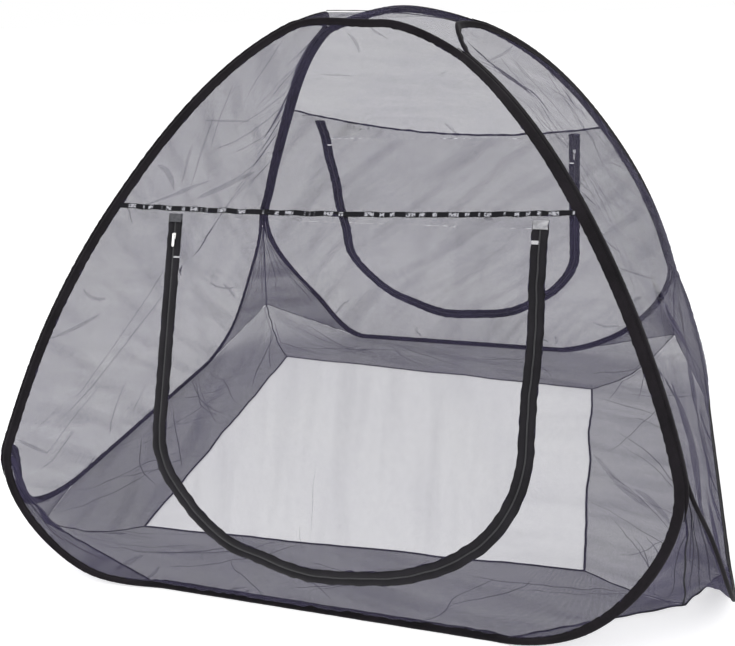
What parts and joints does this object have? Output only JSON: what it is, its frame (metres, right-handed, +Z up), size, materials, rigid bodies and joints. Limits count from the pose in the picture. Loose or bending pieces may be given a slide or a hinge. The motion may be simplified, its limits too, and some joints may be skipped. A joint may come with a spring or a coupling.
{
  "type": "screen house",
  "caption": "Pop-up bottomless mosquito-net screen house: sprung hoops in cloth sleeves, net walls and corners, zipped roll-up doors at two ends.",
  "frame": {"origin": "on the ground under the middle of the house", "axes": "+Z up, the front door faces -Y, X runs across the front door"},
  "size_m": [2.2906, 2.039, 1.6143],
  "materials": {
    "net": "fine dark grey knitted mesh, see-through",
    "sleeve_cloth": "black woven binding, matt",
    "spring_steel": "sprung wire",
    "band_ribbon": "dark woven ribbon",
    "zip_tape": "black woven zip tape",
    "zip_coil": "black nylon coil",
    "end_tab": "folded woven tab",
    "slider_metal": "bright plated metal"
  },
  "bodies": {
    "house": {"front_sleeve": "sleeve_cloth", "front_spring_wire": "spring_steel", "front_wire_ferrule": "spring_steel", "back_sleeve": "sleeve_cloth", "back_spring_wire": "spring_steel", "back_wire_ferrule": "spring_steel", "left_sleeve": "sleeve_cloth", "left_spring_wire": "spring_steel", "left_wire_ferrule": "spring_steel", "right_sleeve": "sleeve_cloth", "right_spring_wire": "spring_steel", "right_wire_ferrule": "spring_steel", "front_upper_net": "net", "front_lower_net": "net", "front_band_ribbon": "band_ribbon", "front_outer_zip_tape": "zip_tape", "front_outer_zip_coil": "zip_coil", "front_slider_end_tab": "end_tab", "front_stop_end_tab": "end_tab", "back_upper_net": "net", "back_lower_net": "net", "back_band_ribbon": "band_ribbon", "back_outer_zip_tape": "zip_tape", "back_outer_zip_coil": "zip_coil", "back_slider_end_tab": "end_tab", "back_stop_end_tab": "end_tab", "left_net": "net", "right_net": "net", "roof_net": "net", "roof_seam_tape": "sleeve_cloth", "front_left_gusset": "net", "front_right_gusset": "net", "back_left_gusset": "net", "back_right_gusset": "net", "front_floor_net": "net", "back_floor_net": "net", "left_floor_net": "net", "right_floor_net": "net", "floor_opening_binding": "zip_tape"},
    "front_door": {"front_door_net": "net", "front_inner_zip_tape": "zip_tape", "front_inner_zip_coil": "zip_coil"},
    "front_slider": {"front_slider_outer_plate": "slider_metal", "front_slider_inner_plate": "slider_metal"},
    "front_outside_pull": {"front_outer_pull": "slider_metal"},
    "front_inside_pull": {"front_inner_pull": "slider_metal"},
    "back_door": {"back_door_net": "net", "back_inner_zip_tape": "zip_tape", "back_inner_zip_coil": "zip_coil"},
    "back_slider": {"back_slider_outer_plate": "slider_metal", "back_slider_inner_plate": "slider_metal"},
    "back_outside_pull": {"back_outer_pull": "slider_metal"},
    "back_inside_pull": {"back_inner_pull": "slider_metal"}
  },
  "joints": [
    {"name": "front_door_lift", "type": "hinge", "parent": "house", "child": "front_door", "pos_m": [0.045, -0.6604, 1.0755], "axis": [-1, 0, 0], "range_deg": [0, 150]},
    {"name": "front_slider_travel", "type": "slide", "parent": "house", "child": "front_slider", "axis": [0, -0.4027, -0.9153], "range_m": [0, 0.45]},
    {"name": "front_outside_pull_swing", "type": "hinge", "parent": "front_slider", "child": "front_outside_pull", "pos_m": [-0.482, -0.68801, 1.02542], "axis": [-1, 0, 0], "range_deg": [0, 160]},
    {"name": "front_inside_pull_swing", "type": "hinge", "parent": "front_slider", "child": "front_inside_pull", "pos_m": [-0.482, -0.67849, 1.02123], "axis": [1, 0, 0], "range_deg": [-25, 130]},
    {"name": "back_door_lift", "type": "hinge", "parent": "house", "child": "back_door", "pos_m": [0.024, 0.6606, 1.0755], "axis": [1, 0, 0], "range_deg": [0, 150]},
    {"name": "back_slider_travel", "type": "slide", "parent": "house", "child": "back_slider", "axis": [0, 0.3797, -0.9251], "range_m": [0, 0.45]},
    {"name": "back_outside_pull_swing", "type": "hinge", "parent": "back_slider", "child": "back_outside_pull", "pos_m": [0.551, 0.68694, 1.02474], "axis": [1, 0, 0], "range_deg": [0, 160]},
    {"name": "back_inside_pull_swing", "type": "hinge", "parent": "back_slider", "child": "back_inside_pull", "pos_m": [0.551, 0.67732, 1.02079], "axis": [-1, 0, 0], "range_deg": [-25, 130]}
  ]
}
